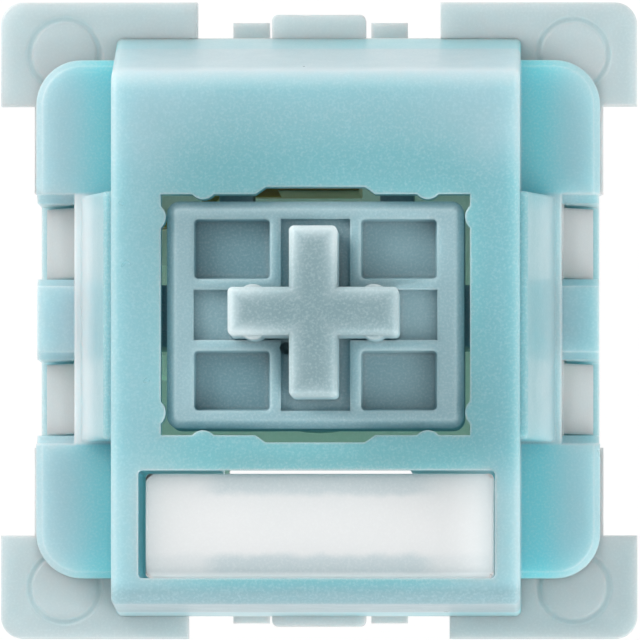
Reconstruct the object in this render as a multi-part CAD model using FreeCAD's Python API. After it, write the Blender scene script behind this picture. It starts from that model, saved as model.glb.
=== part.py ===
import FreeCAD, Part
import math
import os
from FreeCAD import Vector

# Mechanical keyboard switch for a plate and a circuit board, in millimetres.
# Z = 0 is the plane of the board, and the Z axis runs through the centre post and the stem.
# The two contact pins are on the +Y side, and the light guide is on the -Y side.

# Fit in the plate and on the board
plate_hole = 14.0
plate_play = 0.06
plate_thickness = 1.5
flange_width = 15.6
flange_thickness = 1.0
flange_corner = 0.55
board_to_plate = 5.0
post_radius = 2.0
peg_radius = 0.85
peg_offset = 5.08
post_depth = 3.3
post_tip = 0.4
peg_tip = 0.3

# Tub of the bottom housing
tub_wall = 0.85
tub_draft = 0.3
tub_corner = 0.6
floor_thickness = 1.0
collar_radius = 1.7
collar_height = 2.0
post_bore_bottom = 0.5
rail_thickness = 0.5
rail_reach = 0.15
led_slot_width = 4.6
led_slot_depth = 2.1
led_slot_corner = 0.17
screen_wall = 0.3
notch_depth = 0.72
notch_wall = 0.6

# Cut-outs of the flange and round marks in its corners
flange_gap_north = 2.98
flange_gap_south = 3.2
flange_gap_side = 5.27
mark_radius = 0.93
mark_ring = 0.14
mark_depth = 0.06
mark_x = 6.24
mark_y = 6.53

# Springy clips that catch under the plate, each with a tab above it
clip_half_width = 2.15
clip_thickness = 0.4
clip_root = 0.57
clip_foot_height = 0.8
nose_width = 0.9
nose_reach = 0.43
nose_height = 1.5
nose_lip = 0.3
tab_half_width = 1.15
tab_reach = 0.53
tab_play = 0.05
tab_height = 0.9
tab_corner = 0.15

# Top housing
housing_height = 11.6
block_half_width = 4.95
block_wall = 0.8
block_edge = 0.14
ceiling_thickness = 1.3
north_base = 6.92
north_top = 5.85
north_round = 0.52
south_base = 7.25
south_top = 7.0
south_round = 0.3
south_flat = 3.5
south_fall = 0.12
skirt_half_x = 6.89
skirt_half_y = 6.33
skirt_height = 1.5
skirt_corner = 1.1
skirt_bevel = 0.15
skirt_wall = 0.8
bulge_base = 5.95
bulge_shoulder = 5.14
bulge_half_width = 3.0
bulge_top_drop = 0.4
bulge_foot = 0.5
bulge_edge = 0.09

# Latch legs and the hooks that hold them
leg_half_width = 3.05
leg_thickness = 0.82
leg_bar_height = 0.8
leg_bottom = 2.9
leg_top_drop = 0.2
latch_inner = 0.98
latch_frame = 0.21
latch_bevel = 0.18
latch_play = 0.07
hook_reach = 0.72
hook_nose = 0.55
hook_slope = 1.3

# Window for the stem
window_half_x = 3.745
window_half_y = 2.92
window_recess_half = 1.2
window_recess_slope = 0.25
window_recess = 0.175
guide_bump_radius = 0.35
guide_bump_rise = 0.12
guide_bump_x = 2.72
guide_bump_y = 2.37

# Light guide and its opening
guide_opening_x = 8.64
guide_opening_y = 2.61
guide_opening_north = 3.77
guide_opening_shift = 0.03
guide_length = 8.42
guide_width = 2.52
guide_shift_x = 0.1
guide_shift_y = 0.035
guide_top_drop = 0.1
guide_lip = 0.3
guide_relief = 0.32
guide_ledge = 0.45
guide_ledge_height = 0.6
guide_corner = 0.1
lens_sag = 0.55
lens_crown = 0.1

# Stem
travel = 4.0
stem_half_x = 3.6
stem_half_y = 2.75
stem_corner = 0.3
stem_top_drop = 0.2
stem_plate = 1.2
stem_bevel = 0.2
stem_skirt = 2.6
rim_width = 0.45
cross_size = 4.1
cross_arm = 1.15
cross_height = 3.8
cross_corner = 0.12
cross_chamfer = 0.08
crush_x = 1.455
crush_rise = 0.08
crush_radius = 0.385
crush_top_drop = 0.5
pocket_inner_x = 1.09
pocket_inner_y = 0.86
pocket_depth = 0.6
pocket_draft = 0.06
rib_width = 0.25
channel_depth = 0.25
gate_hole_radius = 0.15
gate_hole_depth = 0.4
gate_hole_x = -0.72
gate_hole_y = -0.8
stem_play = 0.05
stem_stop_gap = 0.1
wing_half_width = 0.75
wing_tip = 4.15
wing_play = 0.1
barrel_wall = 0.33
pole_radius = 1.1
pole_play = 0.15
pole_length = 8.6

# Spring
spring_wire = 0.25
spring_play = 0.15
spring_turns = 11
coil_steps = 15
wire_sides = 6

# Legs of the stem and the contacts they work
stem_leg_x = 1.95
stem_leg_width = 0.8
stem_leg_length = 3.9
stem_leg_back = 0.75
cam_rise = 0.6
cam_slope = 1.0
cam_flat = 0.3
cam_toe = 0.4
metal_thickness = 0.25
pin_width = 0.9
pin_tip = 0.5
fixed_pin_x = -3.81
fixed_pin_y = 2.54
moving_pin_x = 2.54
moving_pin_y = 5.08
pin_play = 0.02
contact_gap_to_stem = 0.4
fixed_plate_half_width = 1.0
fixed_foot_height = 1.0
terminal_height = 2.6
terminal_half_width = 2.4
leaf_thickness = 0.1
leaf_weld_height = 1.3
leaf_lift = 0.3
leaf_half_width = 0.6
leaf_cam_gap = 0.05
leaf_bow = 0.2
leaf_bend = 0.7
leaf_tip = 0.65
point_drop = 0.35
fixed_plate_above = 0.8
point_size = 0.55
point_bar = 0.25
fixed_point_bar = 0.22
backing_rib = 0.6

# Heights that several pieces share
flange_top = board_to_plate + flange_thickness
ceiling = housing_height - ceiling_thickness
stem_top = housing_height - stem_top_drop
stem_roof = stem_top - stem_plate
stem_bottom = floor_thickness + travel + stem_stop_gap
tub_half = plate_hole / 2.0 - plate_play / 2.0
tub_foot = tub_half - tub_draft
inner_half = tub_half - tub_wall
notch_inner = tub_half - notch_depth
lining_inner = notch_inner - tub_wall
spring_inner = collar_radius + spring_play
spring_mean = spring_inner + spring_wire / 2.0
barrel_outer = stem_half_y
barrel_inner = barrel_outer - barrel_wall
bore_radius = pole_radius + pole_play
clip_top = board_to_plate - plate_thickness
leg_outer = bulge_base + 0.1 + leg_thickness
latch_outer = leg_half_width - latch_frame
pocket_wall = bulge_base + 0.05
side_wall_inner = pocket_wall - tub_wall
screen_north = window_half_y + window_recess + 0.055
fixed_plate_y = stem_half_y + contact_gap_to_stem
leg_back_y = stem_half_y + stem_leg_back
cam_y = leg_back_y + cam_rise
leg_toe_z = stem_roof - stem_leg_length - 0.1
cam_z = leg_toe_z + cam_toe + cam_flat / 2.0
point_height_z = cam_z - point_drop
terminal_south = moving_pin_y - metal_thickness / 2.0
leaf_root = terminal_south - leaf_thickness


def block(x0, x1, y0, y1, z0, z1):
    """Box between two corners."""
    return Part.makeBox(x1 - x0, y1 - y0, z1 - z0, Vector(x0, y0, z0))


def rod(radius, z0, z1, x=0.0, y=0.0):
    """Upright cylinder between two heights."""
    return Part.makeCylinder(radius, z1 - z0, Vector(x, y, z0))


def rounded_outline(half_x, half_y, radius, z, x=0.0, y=0.0):
    """Level rectangle with round corners."""
    edges = []
    slant = radius * math.sqrt(0.5)
    corners = [(1, 1), (-1, 1), (-1, -1), (1, -1)]
    arcs = []
    for sx, sy in corners:
        cx = x + sx * (half_x - radius)
        cy = y + sy * (half_y - radius)
        on_x = Vector(cx + sx * radius, cy, z)
        on_y = Vector(cx, cy + sy * radius, z)
        middle = Vector(cx + sx * slant, cy + sy * slant, z)
        start, end = (on_x, on_y) if sx * sy > 0 else (on_y, on_x)
        arcs.append((start, middle, end))
    for index, (start, middle, end) in enumerate(arcs):
        following = arcs[(index + 1) % len(arcs)][0]
        edges.append(Part.Arc(start, middle, end).toShape())
        edges.append(Part.LineSegment(end, following).toShape())
    return Part.Wire(edges)


def slab(half_x, half_y, radius, z0, z1, x=0.0, y=0.0):
    """Upright plate with round corners."""
    face = Part.Face(rounded_outline(half_x, half_y, radius, z0, x, y))
    return face.extrude(Vector(0, 0, z1 - z0))


def side_prism(points, x0, x1):
    """Outline in the YZ plane, drawn out along X."""
    corners = [Vector(x0, y, z) for y, z in points]
    face = Part.Face(Part.makePolygon(corners + corners[:1]))
    return face.extrude(Vector(x1 - x0, 0, 0))


def front_prism(points, y0, y1):
    """Outline in the XZ plane, drawn out along Y."""
    corners = [Vector(x, y0, z) for x, z in points]
    face = Part.Face(Part.makePolygon(corners + corners[:1]))
    return face.extrude(Vector(0, y1 - y0, 0))


def tapered_slab(half_x, half_y, radius, z0, z1, growth, x=0.0, y=0.0):
    """Plate with round corners whose sides lean out by the growth on the way up."""
    long_x = front_prism([
        (x - half_x, z0), (x + half_x, z0),
        (x + half_x + growth, z1), (x - half_x - growth, z1),
    ], y - half_y + radius, y + half_y - radius)
    long_y = side_prism([
        (y - half_y, z0), (y + half_y, z0),
        (y + half_y + growth, z1), (y - half_y - growth, z1),
    ], x - half_x + radius, x + half_x - radius)
    cones = []
    for sx in (-1, 1):
        for sy in (-1, 1):
            center = Vector(x + sx * (half_x - radius), y + sy * (half_y - radius), z0)
            cones.append(Part.makeCone(radius, radius + growth, z1 - z0, center))
    return join([long_x, long_y] + cones)


def plan_prism(points, z0, z1):
    """Outline in plan, drawn out upwards."""
    corners = [Vector(x, y, z0) for x, y in points]
    face = Part.Face(Part.makePolygon(corners + corners[:1]))
    return face.extrude(Vector(0, 0, z1 - z0))


def both_x(shape):
    """A shape and its mirror image across the YZ plane."""
    return [shape, shape.mirror(Vector(0, 0, 0), Vector(1, 0, 0))]


def both_y(shape):
    """A shape and its mirror image across the XZ plane."""
    return [shape, shape.mirror(Vector(0, 0, 0), Vector(0, 1, 0))]


def four_corners(shape):
    """A shape and its mirror images in all four quarters."""
    return [copy for half in both_x(shape) for copy in both_y(half)]


def join(shapes):
    """One clean solid made of several that touch or overlap."""
    return shapes[0].fuse(shapes[1:]).removeSplitter()


def post(radius, tip, z_top, x=0.0, y=0.0):
    """Round post that hangs below the board plane, with a tapered tip."""
    shank = rod(radius, tip - post_depth, z_top, x, y)
    cone = Part.makeCone(radius - tip / 2.0, radius, tip, Vector(x, y, -post_depth))
    return shank.fuse(cone)


def pin_blade(x, y, top):
    """Flat contact pin with a pointed end."""
    half = pin_width / 2.0
    tip = half / 2.0
    outline = [
        (x - half, top),
        (x - half, pin_tip - post_depth),
        (x - tip, -post_depth),
        (x + tip, -post_depth),
        (x + half, pin_tip - post_depth),
        (x + half, top),
    ]
    return front_prism(outline, y - metal_thickness / 2.0, y + metal_thickness / 2.0)


def pin_slot(x, y):
    """Slot in the floor of the tub for a contact pin."""
    half_x = pin_width / 2.0 + pin_play
    half_y = metal_thickness / 2.0 + pin_play
    return block(x - half_x, x + half_x, y - half_y, y + half_y, -1.0, floor_thickness)


def plate_clip():
    """Springy tongue in a notch, with two noses for the plate and a tab above it."""
    root = tub_half - clip_root
    back = tub_half - clip_thickness
    tongue = side_prism([
        (notch_inner - notch_wall / 2.0, 0.0),
        (tub_foot, 0.0),
        (tub_half, clip_top),
        (back, clip_top),
        (root, clip_foot_height),
        (notch_inner - notch_wall / 2.0, clip_foot_height),
    ], -clip_half_width, clip_half_width)
    nose = side_prism([
        (back, clip_top - nose_height),
        (tub_foot, clip_top - nose_height),
        (tub_half + nose_reach, clip_top - nose_lip),
        (tub_half + nose_reach, clip_top),
        (back, clip_top),
    ], clip_half_width - nose_width, clip_half_width)
    tab_z = board_to_plate + tab_play
    finger = block(-tab_half_width, tab_half_width, back, tub_half, clip_top, tab_z)
    tab_depth = (clip_thickness + tab_reach) / 2.0
    tab = slab(tab_half_width, tab_depth, tab_corner, tab_z, tab_z + tab_height, 0.0, back + tab_depth)
    return join([tongue, finger, tab] + both_x(nose))


def latch_hook():
    """Hook on the side wall of the tub that holds one latch leg."""
    face = pocket_wall
    under = leg_bottom + leg_bar_height + latch_play
    outline = [
        (face - tub_wall / 2.0, under),
        (face + hook_reach, under),
        (face + hook_reach, under + hook_nose),
        (face, under + hook_nose + hook_slope),
        (face - tub_wall / 2.0, under + hook_nose + hook_slope),
    ]
    return front_prism(outline, latch_inner + latch_play, latch_outer - latch_play)


def make_bottom_housing():
    """Tub with flange, clips, hooks, rails, collar, posts and slots."""
    tub = tapered_slab(tub_foot, tub_foot, tub_corner - tub_draft, 0.0, board_to_plate, tub_draft)
    rim = slab(tub_half, tub_half, tub_corner, board_to_plate, flange_top)
    half = flange_width / 2.0
    flange = slab(half, half, flange_corner, board_to_plate, flange_top)
    far = half + 1.0
    flange = flange.cut([
        block(-flange_gap_north, flange_gap_north, tub_half, far, 0.0, housing_height),
        block(-flange_gap_south, flange_gap_south, -far, -tub_half, 0.0, housing_height),
        block(tub_half, far, -flange_gap_side, flange_gap_side, 0.0, housing_height),
        block(-far, -tub_half, -flange_gap_side, flange_gap_side, 0.0, housing_height),
    ])
    shell = join([tub, rim, flange])
    foot_half = tub_foot - tub_wall
    shell = shell.cut(tapered_slab(foot_half, foot_half, tub_corner - tub_draft, floor_thickness,
                                   flange_top + 0.01, tub_draft))

    side_wall = block(side_wall_inner, inner_half + tub_wall / 2.0, -leg_half_width - tub_wall,
                      leg_half_width + tub_wall, floor_thickness, flange_top)
    leg_pocket = block(pocket_wall, far, -leg_half_width - latch_play, leg_half_width + latch_play,
                       leg_bottom - latch_play, housing_height)
    linings = [
        block(-flange_gap_north - notch_wall, flange_gap_north + notch_wall, lining_inner,
              tub_foot - tub_draft / 2.0, floor_thickness / 2.0, flange_top),
        block(-flange_gap_south - notch_wall, flange_gap_south + notch_wall,
              tub_draft / 2.0 - tub_foot, -lining_inner, floor_thickness / 2.0, flange_top),
    ]
    notches = [
        block(-flange_gap_north, flange_gap_north, notch_inner, far, -1.0, housing_height),
        block(-flange_gap_south, flange_gap_south, -far, -notch_inner, -1.0, housing_height),
    ]
    shell = join([shell] + both_x(side_wall) + linings).cut(both_x(leg_pocket) + notches)

    rail = block(stem_half_x + rail_reach, side_wall_inner + 0.1, wing_half_width + wing_play,
                 wing_half_width + wing_play + rail_thickness, floor_thickness, flange_top)
    screen = block(-side_wall_inner - 0.1, side_wall_inner + 0.1, -screen_north - screen_wall,
                   -screen_north, floor_thickness, flange_top)
    collar = rod(collar_radius, 0.0, floor_thickness + collar_height)
    fixed_rib = block(-backing_rib / 2.0, backing_rib / 2.0,
                      fixed_plate_y + metal_thickness + pin_play,
                      fixed_plate_y + metal_thickness + backing_rib, floor_thickness - 0.1,
                      floor_thickness + collar_height)
    terminal_rib = block(moving_pin_x - backing_rib / 2.0, moving_pin_x + backing_rib / 2.0,
                         moving_pin_y + metal_thickness / 2.0 + pin_play, lining_inner + 0.1,
                         floor_thickness - 0.1, floor_thickness + terminal_height)
    added = four_corners(rail) + four_corners(latch_hook()) + both_y(plate_clip())
    added += [screen, collar, fixed_rib, terminal_rib]
    added += [post(post_radius, post_tip, floor_thickness / 2.0)]
    added += both_x(post(peg_radius, peg_tip, floor_thickness / 2.0, peg_offset))
    shell = join([shell] + added)

    led_north = screen_north + screen_wall
    removed = [
        rod(bore_radius, post_bore_bottom - post_depth, floor_thickness + collar_height + 1.0),
        pin_slot(fixed_pin_x, fixed_pin_y),
        pin_slot(moving_pin_x, moving_pin_y),
        slab(led_slot_width / 2.0, led_slot_depth / 2.0, led_slot_corner, -1.0,
             floor_thickness + 1.0, 0.0, -led_north - led_slot_depth / 2.0),
    ]
    ring = rod(mark_radius, flange_top - mark_depth, flange_top + 1.0, mark_x, mark_y)
    ring = ring.cut(rod(mark_radius - mark_ring, 0.0, flange_top + 2.0, mark_x, mark_y))
    removed += four_corners(ring)
    return shell.cut(removed).removeSplitter()


def rounded(shape, radius, test):
    """Shape with a fillet along the edges whose middle passes a test."""
    return shape.makeFillet(radius, [edge for edge in shape.Edges if test(edge.CenterOfMass)])


def main_block():
    """Main block of the top housing, with its round shoulders and side edges."""
    south_edge = housing_height - south_fall
    body = side_prism([
        (north_base, flange_top),
        (north_top, housing_height),
        (-south_flat, housing_height),
        (-south_top, south_edge),
        (-south_base, flange_top),
    ], -block_half_width, block_half_width)
    near = south_round / 2.0
    body = rounded(body, north_round, lambda p: abs(p.x) < near and p.y > north_top - near
                   and p.z > housing_height - near)
    body = rounded(body, south_round, lambda p: abs(p.x) < near and p.y < near - south_top
                   and p.z > south_edge - near)
    return rounded(body, block_edge, lambda p: abs(p.x) > block_half_width - near
                   and p.z > flange_top + near)


def bulge_outline(inset):
    """Cross-section of a side bulge, set in by a wall where it is the cavity."""
    top = housing_height - bulge_top_drop - inset
    return [
        (0.0, flange_top),
        (bulge_base - inset, flange_top),
        (bulge_base - inset, flange_top + bulge_foot),
        (bulge_shoulder - inset, top),
        (0.0, top),
    ]


def stem_window():
    """Window for the stem, with its recesses and guide bumps."""
    z0 = ceiling - 1.0
    z1 = housing_height + 1.0
    opening = block(-window_half_x, window_half_x, -window_half_y, window_half_y, z0, z1)
    deep = window_half_y + window_recess
    recess = plan_prism([
        (-window_recess_half - window_recess_slope, window_half_y - 0.1),
        (-window_recess_half - window_recess_slope, window_half_y),
        (-window_recess_half, deep),
        (window_recess_half, deep),
        (window_recess_half + window_recess_slope, window_half_y),
        (window_recess_half + window_recess_slope, window_half_y - 0.1),
    ], z0, z1)
    opening = join([opening] + both_y(recess))
    inset = guide_bump_radius - guide_bump_rise
    bumps = four_corners(rod(guide_bump_radius, z0, z1, guide_bump_x, window_half_y + inset))
    bumps += four_corners(rod(guide_bump_radius, z0, z1, window_half_x + inset, guide_bump_y))
    return opening.cut(bumps)


def latch_leg():
    """Leg of one side with its two windows for the hooks."""
    inner = leg_outer - leg_thickness
    top = flange_top + skirt_height - leg_top_drop
    leg = block(bulge_base - 0.1, leg_outer, -leg_half_width, leg_half_width, flange_top, top)
    leg = leg.fuse(block(inner, leg_outer, -leg_half_width, leg_half_width, leg_bottom, flange_top))
    bar_top = leg_bottom + leg_bar_height
    mouth = plan_mouth(bar_top, top)
    return leg.cut(both_y(mouth))


def plan_mouth(bar_top, top):
    """Window of a latch leg, wider at its mouth."""
    outline = [
        (latch_inner, bar_top),
        (latch_outer, bar_top),
        (latch_outer, top - latch_bevel * 2.0),
        (latch_outer + latch_bevel, top + 0.01),
        (latch_inner - latch_bevel, top + 0.01),
        (latch_inner, top - latch_bevel * 2.0),
    ]
    return side_prism(outline, bulge_base, leg_outer + 1.0)


def guide_center():
    """Middle of the light-guide opening in Y."""
    return -guide_opening_north - guide_opening_y / 2.0


def make_top_housing():
    """Cover with the stem window, the light-guide opening, skirts, bulges and latch legs."""
    main = main_block()
    skirt_top = flange_top + skirt_height
    skirt = slab(skirt_half_x, skirt_half_y, skirt_corner, flange_top, skirt_top - skirt_bevel)
    skirt = skirt.fuse(tapered_slab(skirt_half_x, skirt_half_y, skirt_corner,
                                    skirt_top - skirt_bevel, skirt_top, -skirt_bevel))
    gap = block(bulge_base, skirt_half_x + 1.0, -leg_half_width, leg_half_width, 0.0, housing_height)
    skirt = skirt.cut(both_x(gap))
    bulge = front_prism(bulge_outline(0.0), -bulge_half_width, bulge_half_width)
    bulge = rounded(bulge, bulge_edge, lambda p: p.x > bulge_edge and p.z > flange_top + bulge_edge)
    cover = join([main, skirt] + both_x(bulge) + both_x(latch_leg()))

    wall = block_wall
    chamber = side_prism([
        (-screen_north, flange_top - 1.0),
        (-screen_north, ceiling),
        (north_top - wall, ceiling),
        (north_base - wall, flange_top),
        (north_base - wall, flange_top - 1.0),
    ], -block_half_width + wall, block_half_width - wall)
    room_half = bulge_half_width - wall
    bulge_room = front_prism(bulge_outline(wall), -room_half, room_half)
    corner_room = block(block_half_width, skirt_half_x - skirt_wall, leg_half_width + 0.25,
                        skirt_half_y - skirt_wall, flange_top - 1.0, skirt_top - skirt_wall)
    opening = slab(guide_opening_x / 2.0, guide_opening_y / 2.0, guide_corner,
                   flange_top - 1.0, housing_height + 1.0, guide_opening_shift, guide_center())
    relief = block(-led_slot_width / 2.0, led_slot_width / 2.0, -guide_opening_north - 0.1,
                   guide_relief - guide_opening_north, flange_top - 1.0, housing_height - guide_lip)
    cover = cover.cut([chamber, stem_window(), opening, relief])
    cover = cover.cut(both_x(bulge_room) + four_corners(corner_room))
    ledge_in = guide_opening_x / 2.0 - guide_ledge
    ledge = block(ledge_in, guide_opening_x / 2.0 + 0.2, guide_center() - guide_opening_y / 2.0 - 0.1,
                  guide_center() + guide_opening_y / 2.0 + 0.1, flange_top,
                  flange_top + guide_ledge_height)
    return join([cover] + both_x(ledge))


def make_light_guide():
    """Clear block with a crowned top and a lens on its lower face."""
    half = guide_length / 2.0
    half_w = guide_width / 2.0
    z0 = flange_top + guide_ledge_height
    z1 = housing_height - guide_top_drop
    body = slab(half, half_w, guide_corner, z0 + lens_sag, z1 - lens_crown)
    crown = Part.Face(Part.Wire([
        Part.Arc(Vector(-half, -half_w, z1 - lens_crown), Vector(-half, 0, z1),
                 Vector(-half, half_w, z1 - lens_crown)).toShape(),
        Part.LineSegment(Vector(-half, half_w, z1 - lens_crown),
                         Vector(-half, -half_w, z1 - lens_crown)).toShape(),
    ])).extrude(Vector(guide_length, 0, 0))
    lens = Part.Face(Part.Wire([
        Part.Arc(Vector(-half + guide_ledge * 2.0, -half_w, z0 + lens_sag), Vector(0, -half_w, z0),
                 Vector(half - guide_ledge * 2.0, -half_w, z0 + lens_sag)).toShape(),
        Part.LineSegment(Vector(half - guide_ledge * 2.0, -half_w, z0 + lens_sag),
                         Vector(-half + guide_ledge * 2.0, -half_w, z0 + lens_sag)).toShape(),
    ])).extrude(Vector(0, guide_width, 0))
    foot = block(half - guide_ledge, half, -half_w, half_w, z0, z0 + lens_sag)
    column = slab(half, half_w, guide_corner, z0 - 1.0, z1 + 1.0)
    guide = join([body, crown, lens] + both_x(foot)).common(column)
    guide.translate(Vector(guide_shift_x, guide_center() - guide_shift_y, 0))
    return guide


def cross_bar(half_x, half_y, z0, z1):
    """One bar of the cross, with a chamfered tip."""
    shank = slab(half_x, half_y, cross_corner, z0, z1 - cross_chamfer)
    tip = tapered_slab(half_x, half_y, cross_corner, z1 - cross_chamfer, z1, -cross_chamfer)
    return shank.fuse(tip)


def make_stem():
    """Slider with cross, pocketed plate, skirt, barrel, wings, legs and pole."""
    plate = slab(stem_half_x, stem_half_y, stem_corner, stem_roof, stem_top - stem_bevel)
    edge = tapered_slab(stem_half_x, stem_half_y, stem_corner, stem_top - stem_bevel, stem_top,
                        -stem_bevel)
    skirt = slab(stem_half_x, stem_half_y, stem_corner, stem_roof - stem_skirt, stem_roof)
    barrel = rod(barrel_outer, stem_bottom, stem_roof)
    wing = block(0.0, wing_tip, -wing_half_width, wing_half_width, stem_bottom, ceiling - stem_play)
    leg_outline = [
        (barrel_inner - 0.6, stem_roof - 0.1),
        (leg_back_y, stem_roof - 0.1),
        (leg_back_y, leg_toe_z + cam_toe + cam_flat + cam_slope),
        (cam_y, leg_toe_z + cam_toe + cam_flat),
        (cam_y, leg_toe_z + cam_toe),
        (cam_y - cam_toe, leg_toe_z),
        (barrel_inner - 0.6, leg_toe_z),
    ]
    leg = side_prism(leg_outline, stem_leg_x - stem_leg_width / 2.0, stem_leg_x + stem_leg_width / 2.0)
    body = join([plate, edge, skirt, barrel] + both_x(wing) + both_x(leg))
    body = body.cut(rod(barrel_inner, stem_bottom - 1.0, stem_roof))
    pole = rod(pole_radius, stem_roof - pole_length, stem_roof + 0.1)

    channel_z = stem_top - channel_depth
    reach_x = stem_half_x - stem_bevel - rim_width
    reach_y = stem_half_y - stem_bevel - rim_width / 2.0
    rib_x = pocket_inner_x - rib_width
    rib_y = pocket_inner_y - rib_width
    channels = [
        block(-rib_x, rib_x, -reach_y, reach_y, channel_z, stem_top + 1.0),
        block(-reach_x, reach_x, -rib_y, rib_y, channel_z, stem_top + 1.0),
    ]
    pocket_half_x = (reach_x - pocket_inner_x) / 2.0
    pocket_half_y = (reach_y - pocket_inner_y) / 2.0
    pocket = tapered_slab(pocket_half_x - pocket_draft, pocket_half_y - pocket_draft,
                          pocket_draft, stem_top - pocket_depth, stem_top + 0.01, pocket_draft,
                          pocket_inner_x + pocket_half_x, pocket_inner_y + pocket_half_y)
    gate_hole = rod(gate_hole_radius, channel_z - gate_hole_depth, stem_top, gate_hole_x, gate_hole_y)
    body = body.cut(channels + four_corners(pocket) + [gate_hole])

    tip_z = stem_top + cross_height
    cross = join([
        cross_bar(cross_size / 2.0, cross_arm / 2.0, channel_z - 0.1, tip_z),
        cross_bar(cross_arm / 2.0, cross_size / 2.0, channel_z - 0.1, tip_z),
    ])
    crush = rod(crush_radius, channel_z - 0.1, tip_z - crush_top_drop, crush_x,
                cross_arm / 2.0 + crush_rise - crush_radius)
    return join([body, pole, cross] + four_corners(crush))


def coil_height(turn):
    """Share of the spring's climb after a number of turns, with a closed turn at each end."""
    closed = spring_wire / (stem_roof - floor_thickness - spring_wire)
    active = spring_turns - 2.0
    if turn < 1.0:
        return closed * turn
    if turn > spring_turns - 1.0:
        return 1.0 - closed * (spring_turns - turn)
    return closed + (1.0 - 2.0 * closed) * (turn - 1.0) / active


def make_spring():
    """Wire coil with closed ends that stands on the floor and lifts the stem."""
    wire_radius = spring_wire / 2.0
    climb = stem_roof - floor_thickness - spring_wire
    sections = []
    for step in range(spring_turns * coil_steps + 1):
        turn = step / coil_steps
        angle = 2.0 * math.pi * turn
        z = floor_thickness + wire_radius + climb * coil_height(turn)
        corners = []
        for side in range(wire_sides):
            around = 2.0 * math.pi * (side + 0.5) / wire_sides
            reach = spring_mean + wire_radius * math.cos(around)
            corners.append(Vector(reach * math.cos(angle), reach * math.sin(angle),
                                  z + wire_radius * math.sin(around)))
        sections.append(Part.makePolygon(corners + corners[:1]))
    return Part.makeLoft(sections, True, True)


def make_fixed_contact():
    """Stamped plate beside the stem, with a foot that runs to its pin."""
    south = fixed_plate_y
    north = fixed_plate_y + metal_thickness
    plate = block(-fixed_plate_half_width, fixed_plate_half_width, south, north,
                  floor_thickness, point_height_z + fixed_plate_above)
    half = metal_thickness / 2.0
    pin_south = fixed_pin_y - half
    pin_north = fixed_pin_y + half
    pin_edge = fixed_pin_x + pin_width / 2.0
    bend = pin_edge + (south - pin_south)
    foot = plan_prism([
        (-fixed_plate_half_width + 0.1, north),
        (bend, north),
        (pin_edge, pin_north),
        (fixed_pin_x - pin_width / 2.0, pin_north),
        (fixed_pin_x - pin_width / 2.0, pin_south),
        (pin_edge + half, pin_south),
        (bend + half, south),
        (-fixed_plate_half_width + 0.1, south),
    ], floor_thickness, floor_thickness + fixed_foot_height)
    return join([plate, foot, pin_blade(fixed_pin_x, fixed_pin_y, floor_thickness + fixed_foot_height)])


def make_fixed_point():
    """Contact bar on the fixed plate, which lies level."""
    y0 = fixed_plate_y + metal_thickness
    return block(-point_size, point_size, y0, y0 + fixed_point_bar,
                 point_height_z - fixed_point_bar, point_height_z + fixed_point_bar)


def leaf_strip(points, x0, x1):
    """Bent strip of leaf, from the line of its south face."""
    back = [(y + leaf_thickness, z) for y, z in reversed(points)]
    return side_prism(points + back, x0, x1)


def make_leaf():
    """Leaf spring with a middle tongue for the contact and two arms for the stem's legs."""
    foot_z = floor_thickness + leaf_lift
    weld_z = foot_z + leaf_weld_height
    tongue_y = cam_y + leaf_cam_gap + leaf_bow
    root = block(-stem_leg_x - stem_leg_width / 2.0, terminal_half_width, leaf_root, terminal_south,
                 foot_z, weld_z)
    tongue = leaf_strip([
        (leaf_root, weld_z - 0.1),
        (leaf_root, weld_z),
        (tongue_y, point_height_z - point_size),
        (tongue_y, point_height_z + point_size),
    ], -leaf_half_width, leaf_half_width)
    arm = leaf_strip([
        (leaf_root, weld_z - 0.1),
        (leaf_root, weld_z),
        (tongue_y, cam_z - leaf_bend),
        (cam_y + leaf_cam_gap, cam_z),
        (tongue_y, cam_z + leaf_tip),
    ], stem_leg_x - stem_leg_width / 2.0, stem_leg_x + stem_leg_width / 2.0)
    return join([root, tongue] + both_x(arm))


def make_moving_point():
    """Contact bar on the leaf's tongue, which stands upright."""
    y1 = cam_y + leaf_cam_gap + leaf_bow
    return block(-point_bar, point_bar, y1 - point_bar, y1,
                 point_height_z - point_bar, point_height_z + point_bar)


def make_terminal():
    """Stamped plate that carries the leaf, with its pin."""
    south = terminal_south
    north = south + metal_thickness
    plate = block(-terminal_half_width / 2.0, moving_pin_x + pin_width, south, north,
                  floor_thickness, floor_thickness + terminal_height)
    return join([plate, pin_blade(moving_pin_x, moving_pin_y, floor_thickness + 0.2)])


pieces = {
    "bottom_housing": make_bottom_housing,
    "top_housing": make_top_housing,
    "light_guide": make_light_guide,
    "stem": make_stem,
    "spring": make_spring,
    "fixed_contact": make_fixed_contact,
    "fixed_contact_point": make_fixed_point,
    "moving_contact_terminal": make_terminal,
    "moving_contact_leaf": make_leaf,
    "moving_contact_point": make_moving_point,
}

os.makedirs("parts", exist_ok=True)
for node, make in pieces.items():
    shape = make()
    shape.exportStep("parts/" + node + ".step")
    print(node, shape.isValid(), len(shape.Solids), round(shape.Volume, 3))
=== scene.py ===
import logging
import math
from dataclasses import dataclass
from enum import Enum
from typing import Any

import bmesh
import bpy
from mathutils import Matrix, Vector
from mathutils.bvhtree import BVHTree


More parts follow.
